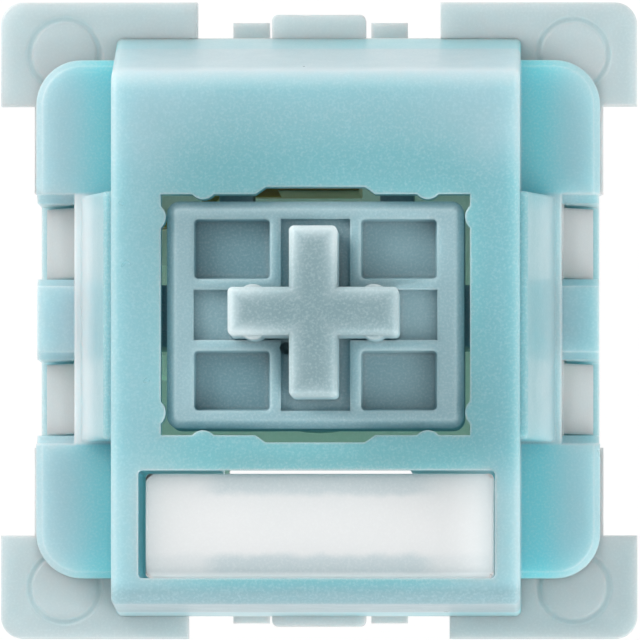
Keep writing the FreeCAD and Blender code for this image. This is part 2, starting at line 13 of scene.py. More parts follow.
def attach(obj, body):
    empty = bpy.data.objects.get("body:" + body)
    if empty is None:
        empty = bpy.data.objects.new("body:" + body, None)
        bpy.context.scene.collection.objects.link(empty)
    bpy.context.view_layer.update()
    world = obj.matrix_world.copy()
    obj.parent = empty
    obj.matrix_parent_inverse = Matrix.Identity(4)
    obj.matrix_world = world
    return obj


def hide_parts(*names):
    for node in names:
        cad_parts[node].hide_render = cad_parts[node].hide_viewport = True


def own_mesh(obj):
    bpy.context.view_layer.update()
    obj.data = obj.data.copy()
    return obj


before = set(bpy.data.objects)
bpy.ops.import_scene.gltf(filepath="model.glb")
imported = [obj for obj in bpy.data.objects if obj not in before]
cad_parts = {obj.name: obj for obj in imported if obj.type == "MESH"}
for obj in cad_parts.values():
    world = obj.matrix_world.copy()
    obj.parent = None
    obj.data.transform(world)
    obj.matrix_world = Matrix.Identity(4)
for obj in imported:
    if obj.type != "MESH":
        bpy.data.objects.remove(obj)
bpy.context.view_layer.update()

logging.basicConfig(level=logging.INFO, format="%(levelname)s %(message)s")
log = logging.getLogger("keyswitch")

MM = 0.001
RGB = tuple[float, float, float]
XYZ = tuple[float, float, float]
BLACK: RGB = (0.0, 0.0, 0.0)
WHITE: RGB = (1.0, 1.0, 1.0)
NOISE_MEAN = 0.5


class Body(Enum):
    """The bodies that the joints move."""

    HOUSING = "housing"
    STEM = "stem"
    LEAF = "leaf"


class Grain(Enum):
    """How the lines in a metal run, as the pattern's scale along each axis."""

    ALONG_Z = (12.0, 12.0, 1.0)
    EVEN = (3.0, 3.0, 3.0)


def linear(red: int, green: int, blue: int) -> RGB:
    """Turns a display colour into the linear one that shaders use.

    Args:
        red: Red from 0 to 255.
        green: Green from 0 to 255.
        blue: Blue from 0 to 255.

    Returns:
        The three linear parts, from 0 to 1.
    """
    def part(value: int) -> float:
        """One part, from 0 to 255, as linear light."""
        share = value / 255.0
        return share / 12.92 if share <= 0.04045 else ((share + 0.055) / 1.055) ** 2.4

    return part(red), part(green), part(blue)


@dataclass(frozen=True)
class Fade:
    """Stretch in millimetres along which a tint comes in, and the share that it reaches."""

    start: float
    end: float
    share: float = 1.0

    def at(self, place: float) -> "Fade":
        """The same fade, measured from another place."""
        return Fade(self.start + place, self.end + place, self.share)


class Wire:
    """Output socket of a shader node that takes part in Python arithmetic."""

    def __init__(self, board: "NodeBoard", socket: bpy.types.NodeSocket | None) -> None:
        """Keeps the board and the socket."""
        self.board = board
        self.socket = socket

    def maths(self, operation: str, first: Any, second: Any) -> "Wire":
        """Adds one Math node.

        Args:
            operation: The Math node's operation.
            first: Value or wire of the first socket.
            second: Value or wire of the second socket.

        Returns:
            The node's result.
        """
        return self.board.node("ShaderNodeMath", {"operation": operation}, {0: first, 1: second})

    def __add__(self, other: Any) -> "Wire":
        """Sum."""
        return self.maths("ADD", self, other)

    __radd__ = __add__

    def __sub__(self, other: Any) -> "Wire":
        """Difference."""
        return self.maths("SUBTRACT", self, other)

    def __rsub__(self, other: Any) -> "Wire":
        """Difference the other way round."""
        return self.maths("SUBTRACT", other, self)

    def __mul__(self, other: Any) -> "Wire":
        """Product."""
        return self.maths("MULTIPLY", self, other)

    __rmul__ = __mul__

    def __abs__(self) -> "Wire":
        """The value without its sign."""
        return self.board.node("ShaderNodeMath", {"operation": "ABSOLUTE"}, {0: self})

    def smaller(self, other: Any) -> "Wire":
        """The smaller of two values."""
        return self.maths("MINIMUM", self, other)

    def larger(self, other: Any) -> "Wire":
        """The larger of two values."""
        return self.maths("MAXIMUM", self, other)

    def clamped(self) -> "Wire":
        """The value held between 0 and 1."""
        return self.board.node("ShaderNodeClamp", {}, {"Value": self})


class NodeBoard:
    """Node tree of a material or world, filled by one method."""

    octave_share = 0.55
    lean_gain = 4.0
    bevel_rays = 6

    def __init__(self, tree: bpy.types.NodeTree) -> None:
        """Starts from an empty tree."""
        self.tree = tree
        tree.nodes.clear()

    def node(self, kind: str, settings: dict[str, Any], sockets: dict[Any, Any],
             output: int | str = 0) -> Wire:
        """Adds a node.

        Args:
            kind: The node's type.
            settings: The node's own settings.
            sockets: Values or wires for its inputs, by name or number.
            output: The output that is returned, by name or number.

        Returns:
            A wire from that output, or from nothing where the node has no output.
        """
        made = self.tree.nodes.new(kind)
        for name, value in settings.items():
            setattr(made, name, value)
        for name, value in sockets.items():
            if isinstance(value, Wire):
                self.tree.links.new(value.socket, made.inputs[name])
            else:
                made.inputs[name].default_value = value
        return Wire(self, made.outputs[output] if made.outputs else None)

    def millimetres(self) -> tuple[Wire, Wire, Wire]:
        """The object coordinates in millimetres.

        Returns:
            X, Y and Z.
        """
        coords = self.node("ShaderNodeTexCoord", {}, {}, "Object")
        x, y, z = (self.node("ShaderNodeSeparateXYZ", {}, {"Vector": coords}, name) * (1.0 / MM)
                   for name in "XYZ")
        return x, y, z

    def noise(self, size: float, detail: float, stretch: XYZ = (1.0, 1.0, 1.0)) -> Wire:
        """Noise pattern on the object coordinates.

        Args:
            size: Size of a patch in millimetres.
            detail: Number of finer layers.
            stretch: Scale of the pattern along each axis.

        Returns:
            The pattern as a value round 0.5.
        """
        coords = self.node("ShaderNodeTexCoord", {}, {}, "Object")
        place = self.node("ShaderNodeMapping", {}, {"Vector": coords, "Scale": stretch})
        return self.node("ShaderNodeTexNoise", {}, {
            "Vector": place, "Scale": 1.0 / (size * MM), "Detail": detail,
            "Roughness": self.octave_share,
        })

    def mix(self, factor: Any, first: Any, second: Any) -> Wire:
        """Mixes two colours.

        Args:
            factor: Share of the second colour.
            first: Colour or wire.
            second: Colour or wire.

        Returns:
            The mixed colour.
        """
        colours = {6: first, 7: second}
        sockets = {i: c if isinstance(c, Wire) else (*c, 1.0) for i, c in colours.items()}
        return self.node("ShaderNodeMix", {"data_type": "RGBA"}, {0: factor, **sockets}, 2)

    def fade(self, value: Wire, fade: Fade) -> Wire:
        """Smooth step along a fade.

        Args:
            value: Place along the fade, in millimetres.
            fade: Where the step starts and ends, and how high it goes.

        Returns:
            A value that goes from 0 to the fade's share.
        """
        return self.node("ShaderNodeMapRange", {"interpolation_type": "SMOOTHSTEP"}, {
            "Value": value, "From Min": fade.start, "From Max": fade.end,
            "To Min": 0.0, "To Max": fade.share,
        })

    def soft_normal(self, radius: float) -> Wire:
        """Normal that turns smoothly round the edges.

        Args:
            radius: Radius of the rounding in millimetres.

        Returns:
            The normal.
        """
        return self.node("ShaderNodeBevel", {"samples": self.bevel_rays}, {"Radius": radius * MM})

    def lean(self, soft: Wire) -> Wire:
        """How near a point is to an edge.

        Args:
            soft: Normal that turns smoothly round the edges.

        Returns:
            A value that is 0 on a flat face and rises to 1 at an edge.
        """
        real = self.node("ShaderNodeNewGeometry", {}, {}, "Normal")
        along = self.node("ShaderNodeVectorMath", {"operation": "DOT_PRODUCT"},
                          {0: soft, 1: real}, "Value")
        return ((1.0 - along) * self.lean_gain).clamped()


@dataclass(frozen=True)
class MouldedPlastic:
    """Injection-moulded plastic that lets light in."""

    name: str
    colour: RGB
    # The edge colour serves the random mottle and the painted edge highlights.
    edge: RGB
    cloud: RGB
    depth: float
    see_through: float
    roughness: float = 0.34
    spread: RGB = (0.7, 1.0, 1.05)
    index: float = 1.5
    # Strength of the painted glow.
    glow: float = 0.0
    edge_width: float = 0.1
    edge_highlight_share: float = 0.6
    cloud_size: float = 3.2
    cloud_contrast: float = 2.4
    cloud_share: float = 0.5
    mottle_size: float = 0.06
    mottle_floor: float = 0.45
    mottle_share: float = 0.6
    grain: float = 0.08
    grain_size: float = 0.09
    grain_height: float = 0.01
    gloss_size: float = 0.7
    gloss_change: float = 0.16

    def tint(self, board: NodeBoard, colour: Wire) -> Wire:
        """Colour that changes over the piece, here left as it is."""
        return colour

    def rim(self, board: NodeBoard, lean: Wire) -> Wire:
        """Share of the edge colour near an edge, a painted highlight, here the same on every edge.
        """
        return lean * self.edge_highlight_share

    def light(self, board: NodeBoard) -> Wire | None:
        """Colour of the painted glow, an emission that stands in for light the piece carries
        through itself, here none.
        """
        return None

    def material(self) -> bpy.types.Material:
        """Builds the finish.

        Returns:
            The material.
        """
        made = bpy.data.materials.new(self.name)
        made.use_nodes = True
        board = NodeBoard(made.node_tree)
        drift = (board.noise(self.cloud_size, detail=3.0) - NOISE_MEAN) * self.cloud_contrast
        drift = (drift + NOISE_MEAN).clamped() * self.cloud_share
        colour = board.mix(drift, self.colour, self.cloud)
        colour = self.tint(board, colour)
        mottle = board.noise(self.mottle_size, detail=1.0) - self.mottle_floor
        colour = board.mix(mottle.clamped() * self.mottle_share, colour, self.edge)
        soft = board.soft_normal(self.edge_width)
        # Painted highlight: the edge colour near every edge.
        colour = board.mix(self.rim(board, board.lean(soft)), colour, self.edge)
        bump = board.node("ShaderNodeBump", {}, {
            "Strength": self.grain, "Distance": self.grain_height * MM,
            "Height": board.noise(self.grain_size, detail=2.0), "Normal": soft,
        })
        gloss = (board.noise(self.gloss_size, detail=2.0) - NOISE_MEAN) * self.gloss_change
        # Painted glow: an emission that stands in for light carried through the piece.
        light = self.light(board)
        painted_glow = {"Emission Color": light, "Emission Strength": self.glow} if light else {}
        shader = board.node("ShaderNodeBsdfPrincipled", {}, {
            **painted_glow,
            "Base Color": colour,
            "Roughness": gloss + self.roughness,
            "IOR": self.index,
            "Subsurface Weight": 1.0,
            "Subsurface Radius": self.spread,
            "Subsurface Scale": self.depth * MM,
            "Transmission Weight": self.see_through,
            "Normal": bump,
        })
        board.node("ShaderNodeOutputMaterial", {}, {"Surface": shader})
        return made


@dataclass(frozen=True, kw_only=True)
class CoverPlastic(MouldedPlastic):
    """Plastic of the cover, with painted shade that deepens the farther a point lies from an outer
    edge, and painted highlights on its outer slopes.
    """

    # The three colours below are painted shade; the second also colours the painted glow.
    deep_shade: RGB
    shade_and_glow: RGB
    grey_shade: RGB
    wall: float = 4.95
    bulge_foot: float = 5.95
    bulge_half: float = 3.03
    bulge_top: float = 11.2
    skirt_rim: float = 6.9
    skirt_top: float = 7.5
    brow: float = 5.85
    south: float = -6.9
    margin: float = 0.3
    overlap: float = 0.2
    east: Fade = Fade(-1.0, 1.0)
    top_least: float = 0.3
    top_outer: Fade = Fade(-0.2, 0.35, 0.3)
    top_inner: Fade = Fade(0.3, 2.6, 0.4)
    top_east_share: float = 0.3
    top_corner: Fade = Fade(0.0, 1.5)
    top_corner_side: Fade = Fade(3.4, 0.5, 0.3)
    top_height: Fade = Fade(0.0, 0.3)
    bulge_end: Fade = Fade(0.08, -0.02)
    bulge_height: Fade = Fade(0.3, 0.05)
    bulge_inner_share: float = 0.8
    bulge_east_share: float = 0.4
    bulge_dull_share: float = 0.3
    skirt_height: Fade = Fade(0.35, 0.05)
    skirt_line: Fade = Fade(-0.06, -0.01, 0.7)
    skirt_least: float = 0.3
    skirt_east_share: float = 0.2
    slope_outer: Fade = Fade(0.02, -0.02)
    slope_inner: Fade = Fade(-0.6, -0.2)
    slope_share: float = 0.7
    slope_east_loss: float = 0.6
    ridge_reach: Fade = Fade(-0.45, 0.05)
    ridge_height: Fade = Fade(10.4, 11.1, 0.35)
    south_reach: Fade = Fade(0.5, 0.1)
    south_height: Fade = Fade(7.6, 8.2, 0.95)
    rim_end: Fade = Fade(0.6, -0.2)
    rim_height: Fade = Fade(-0.4, 0.0)
    rim_side: Fade = Fade(-0.3, -0.1, 0.8)
    opening_half_x: Fade = Fade(4.5, 4.4)
    opening_half_y: Fade = Fade(4.95, 4.85)
    opening_centre: float = -1.6
    opening_height: Fade = Fade(11.45, 11.3)
    leg_reach: Fade = Fade(5.9, 6.0)
    leg_end: Fade = Fade(3.15, 3.1, 0.5)
    leg_height: Fade = Fade(6.6, 6.4)

    def middle(self, board: NodeBoard) -> Wire:
        """Value that is 1 between the ends of the bulges."""
        return board.fade(abs(board.millimetres()[1]), self.bulge_end.at(self.bulge_half))

    def top_shade(self, board: NodeBoard) -> Wire:
        """Share of the painted shade on the flat top, deeper inward from the outer edges and
        towards +X, lighter at the corners.

        Args:
            board: The material's nodes.

        Returns:
            The share.
        """
        x, y, z = board.millimetres()
        side = self.wall - abs(x)
        inset = side.smaller(self.brow - y)
        corner = board.fade(abs(y), self.top_corner.at(self.bulge_half))
        depth = board.fade(inset, self.top_outer) + board.fade(inset, self.top_inner)
        depth = depth + self.top_least
        across = board.fade(x, Fade(-self.wall, self.wall, self.top_east_share))
        depth = depth + across * (1.0 - corner)
        depth = depth - corner * board.fade(side, self.top_corner_side)
        return depth * board.fade(z, self.top_height.at(self.bulge_top))

    def skirts(self, board: NodeBoard) -> Wire:
        """Share of the painted shade on the skirts, deepest next to the central block and a little
        more towards +X.

        Args:
            board: The material's nodes.

        Returns:
            The share.
        """
        x, _, z = board.millimetres()
        out = abs(x)
        # Painted shade on the skirts, beside the central block.
        low = board.fade(z, self.skirt_height.at(self.skirt_top)) * (1.0 - self.middle(board))
        inward = board.fade(out, Fade(self.skirt_rim - self.margin, self.wall))
        line = board.fade(out, self.skirt_line.at(self.wall)) + self.skirt_least
        east = board.fade(x, self.east) * self.skirt_east_share
        return (low * (inward * line + east)).clamped()

    def tint(self, board: NodeBoard, colour: Wire) -> Wire:
        """Paints shade on the skirts, the bulges, the top and the south end, and paints highlights
        on the outer slopes and the north ridge.

        Args:
            board: The material's nodes.
            colour: Colour so far.

        Returns:
            The new colour.
        """
        x, y, z = board.millimetres()
        out = abs(x)
        east = board.fade(x, self.east)
        # Painted shade on the bulges, heavier on their inner side and towards +X.
        bulge = board.fade(z, self.bulge_height.at(self.bulge_top)) * self.middle(board)
        inner = board.fade(out, Fade(self.bulge_foot - self.margin, self.wall + self.overlap))
        shade = inner * self.bulge_inner_share + east * self.bulge_east_share
        deep_shade = (bulge * shade + self.top_shade(board)).clamped()
        colour = board.mix(deep_shade, colour, self.deep_shade)
        colour = board.mix(bulge * inner * self.bulge_dull_share, colour, self.grey_shade)
        colour = board.mix(self.skirts(board), colour, self.shade_and_glow)
        # Painted highlights on the outer slopes of the bulges, weaker towards +X, and on the north
        # ridge.
        slope_highlight = board.fade(out, self.slope_outer.at(self.bulge_foot))
        slope_highlight = slope_highlight * board.fade(out, self.slope_inner.at(self.bulge_foot)) * bulge
        slope_highlight = slope_highlight * (self.slope_share - east * self.slope_east_loss)
        ridge_highlight = board.fade(y, self.ridge_reach.at(self.brow)) * board.fade(z, self.ridge_height)
        colour = board.mix((slope_highlight + ridge_highlight).clamped(), colour, self.edge)
        # Painted shade at the south end.
        south_shade = board.fade(y, self.south_reach.at(self.south)) * board.fade(z, self.south_height)
        return board.mix(south_shade, colour, self.grey_shade)

    def rim(self, board: NodeBoard, lean: Wire) -> Wire:
        """Painted highlight on the edges, but less so where the top meets the bulges.

        Args:
            board: The material's nodes.
            lean: How near a point is to an edge.

        Returns:
            Share of the edge colour.
        """
        x, y, z = board.millimetres()
        long_side = board.fade(abs(y), self.rim_end.at(self.bulge_half))
        long_side = long_side * board.fade(z, self.rim_height.at(self.bulge_top))
        long_side = long_side * board.fade(abs(x), self.rim_side.at(self.wall))
        return lean * (1.0 - long_side) * self.edge_highlight_share

    def light(self, board: NodeBoard) -> Wire:
        """Painted glow on the walls of the two openings and the latch frames, standing in for
        light that reaches them.

        Args:
            board: The material's nodes.

        Returns:
            Colour of that painted glow.
        """
        x, y, z = board.millimetres()
        walls = board.fade(abs(x), self.opening_half_x) * board.fade(z, self.opening_height)
        walls = walls * board.fade(abs(y - self.opening_centre), self.opening_half_y)
        legs = board.fade(abs(x), self.leg_reach) * board.fade(abs(y), self.leg_end)
        legs = legs * board.fade(z, self.leg_height)
        return board.mix((walls + legs).clamped(), BLACK, self.shade_and_glow)


@dataclass(frozen=True, kw_only=True)
class TubPlastic(MouldedPlastic):
    """Plastic of the tub, painted green and given a glow where it is closed in by the cover,
    standing in for light that comes through the teal cover.
    """

    # The first colour below is the green painted light under the cover, also its glow colour; the
    # second is the painted rim shade.
    inside: RGB
    rim_shade: RGB
    half_x: float = 4.4
    half_y: float = 4.6
    centre_y: float = -0.6
    inside_wall: Fade = Fade(0.3, 0.0)
    inside_floor: Fade = Fade(0.5, 1.5)
    inside_share: float = 0.85
    flange: float = 7.8
    flange_rim: Fade = Fade(-0.9, -0.1)
    flange_least: float = 0.16
    flange_east: Fade = Fade(2.0, 7.8, 0.17)
    flange_south: Fade = Fade(-2.0, -7.8, 0.2)

    def tint(self, board: NodeBoard, colour: Wire) -> Wire:
        """Paints shade on the flange's rim, more on the +X and -Y sides, and paints the walls and
        the floor that are closed in with green painted light.

        Args:
            board: The material's nodes.
            colour: Colour so far.

        Returns:
            The new colour.
        """
        x, y, _ = board.millimetres()
        # Painted shade on the flange's rim, stronger on the +X and -Y sides.
        side = board.fade(x, self.flange_east).larger(board.fade(y, self.flange_south))
        rim = board.fade(abs(x).larger(abs(y)), self.flange_rim.at(self.flange))
        colour = board.mix(rim * (side + self.flange_least), colour, self.rim_shade)
        # Green painted light on the walls and the floor that the cover closes in.
        return board.mix(self.closed_in(board) * self.inside_share, colour, self.inside)

    def closed_in(self, board: NodeBoard) -> Wire:
        """Value that is 1 where the cover closes the tub in.

        Args:
            board: The material's nodes.

        Returns:
            The value.
        """
        x, y, z = board.millimetres()
        along = board.fade(abs(x), self.inside_wall.at(self.half_x))
        across = board.fade(abs(y - self.centre_y), self.inside_wall.at(self.half_y))
        return along * across * board.fade(z, self.inside_floor)

    def light(self, board: NodeBoard) -> Wire:
        """Painted glow that stands in for light that comes through the walls."""
        return board.mix(self.closed_in(board), BLACK, self.inside)


@dataclass(frozen=True, kw_only=True)
class SliderPlastic(MouldedPlastic):
    """Plastic of the slider, with painted shade where it is thin over the dark inside, and painted
    highlights on its north rim and along the cross's outline.
    """

    # The first colour below is painted shade, the third a painted highlight; the second colours
    # the top of the cross.
    deep_shade: RGB
    crown: RGB
    painted_light: RGB
    reach: float = 2.05
    arm: float = 0.575
    sunk: Fade = Fade(11.36, 10.9)
    far: Fade = Fade(-3.0, 3.0, 0.6)
    north_rim: Fade = Fade(2.3, 2.8, 0.28)
    south_rim: Fade = Fade(-2.2, -2.5, 0.15)
    top: Fade = Fade(12.2, 14.6)
    outline: Fade = Fade(0.45, -0.02)
    outline_least: float = 0.35
    outline_tip_share: float = 0.6
    tip_share: float = 0.12
    away: Fade = Fade(0.3, 1.8, 0.6)

    def inset(self, board: NodeBoard) -> Wire:
        """How far a point lies inside the outline of the cross, in millimetres.

        Args:
            board: The material's nodes.

        Returns:
            The distance.
        """
        x, y, _ = board.millimetres()
        along = (self.reach - abs(x)).smaller(self.arm - abs(y))
        across = (self.arm - abs(x)).smaller(self.reach - abs(y))
        return along.larger(across)

    def tint(self, board: NodeBoard, colour: Wire) -> Wire:
        """Paints shade in the pockets, the channels and on the south side, and paints highlights
        on the north rim and along the cross's outline.

        Args:
            board: The material's nodes.
            colour: Colour so far.

        Returns:
            The new colour.
        """
        x, y, z = board.millimetres()
        # Painted shade in the pockets and the channels, less towards +X.
        sunk = board.fade(z, self.sunk) * (1.0 - board.fade(x, self.far))
        colour = board.mix(sunk, colour, self.deep_shade)
        # Painted highlight on the north rim, painted shade on the south rim.
        colour = board.mix(board.fade(y, self.north_rim), colour, self.painted_light)
        colour = board.mix(board.fade(y, self.south_rim), colour, self.deep_shade)
        top = board.fade(z, self.top)
        colour = board.mix(top, colour, self.crown)
        # Painted highlight along the cross's outline, weaker towards +X and -Y.
        tip = board.fade(abs(x).larger(abs(y)), Fade(self.arm, self.reach))
        outline = board.fade(self.inset(board), self.outline)
        painted_light = (tip * self.outline_tip_share + self.outline_least) * outline
        painted_light = (painted_light + tip * self.tip_share) * (1.0 - board.fade(x - y, self.away))
        return board.mix(top * painted_light.clamped(), colour, self.painted_light)


@dataclass(frozen=True, kw_only=True)
class GuidePlastic(MouldedPlastic):
    """Clear plastic with two painted grey bands, standing in for where its lens turns away from
    the light below.
    """

    # Colour of the painted shade bands.
    band_shade: RGB
    south: float = -6.37
    north: float = -3.85
    centre_x: float = 0.1
    band_share: float = 0.85
    wobble: float = 0.22
    wobble_size: float = 0.5
    north_band: Fade = Fade(-0.62, -0.38, 0.8)
    north_end: Fade = Fade(3.1, 2.2)
    south_band: Fade = Fade(0.68, 0.42)
    south_end: Fade = Fade(3.0, 2.3, 0.75)
    south_least: float = 0.25
    south_line: Fade = Fade(0.2, 0.05, 0.8)
    lit_end: Fade = Fade(3.0, 4.3, 0.75)
    lit_line: Fade = Fade(0.16, 0.04)

    def tint(self, board: NodeBoard, colour: Wire) -> Wire:
        """Paints the two grey shade bands along the long sides.

        Args:
            board: The material's nodes.
            colour: Colour so far.

        Returns:
            The new colour.
        """
        x, y, _ = board.millimetres()
        wavy = board.noise(self.wobble_size, detail=2.0) - NOISE_MEAN
        wavy = wavy * self.wobble + y
        away = abs(x - self.centre_x)
        north = board.fade(wavy, self.north_band.at(self.north)) * board.fade(away, self.north_end)
        south = board.fade(wavy, self.south_band.at(self.south))
        south = south * (board.fade(away, self.south_end) + self.south_least)
        south = south * (1.0 - board.fade(y, self.south_line.at(self.south)))
        return board.mix((north + south).clamped() * self.band_share, colour, self.band_shade)

    def light(self, board: NodeBoard) -> Wire:
        """Painted glow on the +X end and the long outer edge, standing in for light that reaches
        them.

        Args:
            board: The material's nodes.

        Returns:
            Colour of that painted glow.
        """
        x, y, _ = board.millimetres()
        glow_share = board.fade(x, self.lit_end) + board.fade(y, self.lit_line.at(self.south))
        return board.mix(glow_share.clamped(), BLACK, WHITE)


@dataclass(frozen=True)
class StampedMetal:
    """Rolled sheet or drawn wire, with fine lines along its grain."""

    name: str
    colour: RGB
    shade: RGB
    roughness: float
    grain: Grain
    line_size: float = 0.25
    line_depth: float = 0.005
    line_strength: float = 0.12
    gloss_change: float = 0.2
    stain_size: float = 1.4
    stain_floor: float = 0.35
    stain_contrast: float = 1.6
    stain_share: float = 0.6

    def material(self) -> bpy.types.Material:
        """Builds the finish.

        Returns:
            The material.
        """
        made = bpy.data.materials.new(self.name)
        made.use_nodes = True
        board = NodeBoard(made.node_tree)
        lines = board.noise(self.line_size, detail=3.0, stretch=self.grain.value)
        stain = board.noise(self.stain_size, detail=2.0) - self.stain_floor
        stain = (stain * self.stain_contrast).clamped() * self.stain_share
        bump = board.node("ShaderNodeBump", {}, {
            "Strength": self.line_strength, "Distance": self.line_depth * MM, "Height": lines,
        })
        shader = board.node("ShaderNodeBsdfPrincipled", {}, {
            "Base Color": board.mix(stain, self.colour, self.shade),
            "Metallic": 1.0,
            "Roughness": (lines - NOISE_MEAN) * self.gloss_change + self.roughness,
            "Normal": bump,
        })
        board.node("ShaderNodeOutputMaterial", {}, {"Surface": shader})
        return made


# In each plastic the second colour serves the mottle and the painted edge highlight, the glow is a
# painted glow, and the keyword colours are painted shade or painted light, except the slider's
# colour for the top of the cross.
TEAL = CoverPlastic(
    "teal_plastic", linear(177, 204, 211), linear(222, 234, 238), linear(168, 198, 206),
    depth=1.6, see_through=0.2, roughness=0.32, glow=0.12, deep_shade=linear(122, 184, 192),
    shade_and_glow=linear(120, 208, 218), grey_shade=linear(142, 170, 177))
MILKY = TubPlastic(
    "milky_plastic", linear(204, 214, 216), linear(224, 232, 233), linear(190, 205, 207),
    depth=1.6, see_through=0.3, glow=0.24, inside=linear(158, 206, 184),
    rim_shade=linear(150, 164, 168))
SLIDER = SliderPlastic(
    "slider_plastic", linear(151, 182, 189), linear(216, 231, 234), linear(142, 175, 183),
    depth=0.7, see_through=0.06, roughness=0.45, edge_width=0.2, edge_highlight_share=0.15,
    cloud_size=2.0, spread=(0.9, 1.0, 1.0), deep_shade=linear(120, 160, 170),
    crown=linear(124, 152, 158), painted_light=linear(190, 204, 207))
CLEAR = GuidePlastic(
    "clear_plastic", linear(231, 231, 231), linear(243, 244, 244), linear(226, 228, 228),
    depth=2.0, see_through=0.2, cloud_size=1.6, grain=0.2, glow=0.2, spread=(1.0, 1.0, 1.0),
    band_shade=linear(190, 204, 208))
BRASS = StampedMetal("plated_sheet", linear(214, 178, 112), linear(186, 146, 88), 0.32,
                     Grain.ALONG_Z)
LEAF = StampedMetal("leaf_sheet", linear(206, 160, 104), linear(178, 128, 82), 0.28,
                    Grain.ALONG_Z)
POINT = StampedMetal("contact_bar", linear(232, 198, 122), linear(212, 172, 96), 0.2, Grain.EVEN)
STEEL = StampedMetal("drawn_wire", linear(196, 192, 190), linear(158, 152, 150), 0.26,
                     Grain.EVEN, line_size=0.5)


def finish_piece(mesh: bmesh.types.BMesh, name: str, material: bpy.types.Material, body: Body,
                 replaced: str, sharp_angle: float = 18.0) -> bpy.types.Object:
    """Makes an object of a mesh and hangs it on its body.

    Args:
        mesh: The finished mesh, in place.
        name: Name of the piece.
        material: The finish.
        body: The body that it rides on.
        replaced: Node of the frame that it stands for.
        sharp_angle: Angle in degrees from which an edge is drawn sharp.

    Returns:
        The object.
    """
    bmesh.ops.recalc_face_normals(mesh, faces=mesh.faces)
    data = bpy.data.meshes.new(name)
    mesh.to_mesh(data)
    mesh.free()
    data.shade_smooth()
    data.set_sharp_from_angle(angle=math.radians(sharp_angle))
    data.materials.append(material)
    piece = bpy.data.objects.new(name, data)
    even = piece.modifiers.new("even_faces", "WEIGHTED_NORMAL")
    even.keep_sharp = True
    bpy.context.scene.collection.objects.link(piece)
    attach(piece, body.value)
    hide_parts(replaced)
    log.info("%s: %d faces on %s", name, len(data.polygons), body.value)
    return piece


@dataclass(frozen=True)
class SoftPart:
    """One moulded or stamped piece, with its sharp outer edges rounded where it has a width."""

    node: str
    name: str
    slot: str
    body: Body
    width: float = 0.0
    segments: int = 2
    merge_gap: float = 0.001
    flat_angle: float = 0.2
    edge_angle: float = 50.0
    farthest_share: float = 0.6
    sliver: float = 0.0005

    def build(self, material: bpy.types.Material) -> None:
        """Builds the piece in place of its node.

        Args:
            material: The finish.
        """
        mesh = self.clean_copy()
        if self.width:
            bmesh.ops.triangulate(mesh, faces=mesh.faces)
            self.round_edges(mesh)
        finish_piece(mesh, self.name, material, self.body, self.node)

    def clean_copy(self) -> bmesh.types.BMesh:
        """Copy of the frame's node with its flat faces made whole.

        Returns:
            The copy.
        """
        mesh = bmesh.new()
        mesh.from_mesh(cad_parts[self.node].data)
        bmesh.ops.remove_doubles(mesh, verts=mesh.verts, dist=self.merge_gap * MM)
        bmesh.ops.dissolve_limit(mesh, angle_limit=math.radians(self.flat_angle),
                                 verts=mesh.verts, edges=mesh.edges)
        return mesh

    def round_edges(self, mesh: bmesh.types.BMesh) -> None:
        """Rounds the sharp outer edges, and pulls back what leaves the old surface.

        Args:
            mesh: The mesh, in triangles.
        """
        before = BVHTree.FromBMesh(mesh)
        least = math.radians(self.edge_angle)
        sharp = [e for e in mesh.edges
                 if e.is_manifold and e.is_convex and e.calc_face_angle() > least]
        bmesh.ops.bevel(mesh, geom=sharp, offset=self.width * MM, offset_type="OFFSET",
                        segments=self.segments, profile=0.5, affect="EDGES",
                        clamp_overlap=False, material=-1)
        for vert in mesh.verts:
            near, _, _, gap = before.find_nearest(vert.co)
            if gap > self.width * MM * self.farthest_share:
                vert.co = near
        bmesh.ops.dissolve_degenerate(mesh, edges=mesh.edges, dist=self.sliver * MM)


@dataclass
class Housing:
    """Bottom tub with its flange, and the cover that snaps onto it."""

    tub: SoftPart = SoftPart("bottom_housing", "tub", "milky_shell", Body.HOUSING)
    cover: SoftPart = SoftPart("top_housing", "cover", "teal_shell", Body.HOUSING)

    def build(self) -> None:
        """Builds the tub and the cover."""
        self.tub.build(MILKY.material())
        self.cover.build(TEAL.material())


@dataclass
class LightGuide:
    """Clear block that carries light from the board to the keycap."""

    edge: float = 0.08
    segments: int = 3

    def build(self) -> None:
        """Builds the block."""
        SoftPart("light_guide", "light_block", "clear_guide", Body.HOUSING, self.edge,
                 self.segments).build(CLEAR.material())


@dataclass
class Slider:
    """Stem that the keycap pushes."""

    stem: SoftPart = SoftPart("stem", "slider_stem", "slider", Body.STEM)

    def build(self) -> None:
        """Builds the stem."""
        self.stem.build(SLIDER.material())


@dataclass
class Contacts:
    """The fixed plate, the terminal with its leaf, and the two contact bars."""

    edge: float = 0.03

    def build(self) -> None:
        """Builds the sheet metal and the bars."""
        sheet = BRASS.material()
        point = POINT.material()
        rows = (
            ("fixed_contact", "fixed_blade", "contact_sheet", Body.HOUSING, sheet),
            ("moving_contact_terminal", "terminal_blade", "contact_sheet", Body.HOUSING, sheet),
            ("moving_contact_leaf", "leaf_strip", "leaf_sheet", Body.LEAF, LEAF.material()),
            ("fixed_contact_point", "fixed_bar", "contact_bar", Body.HOUSING, point),
            ("moving_contact_point", "moving_bar", "contact_bar", Body.LEAF, point),
        )
        for node, name, slot, body, material in rows:
            SoftPart(node, name, slot, body, self.edge).build(material)


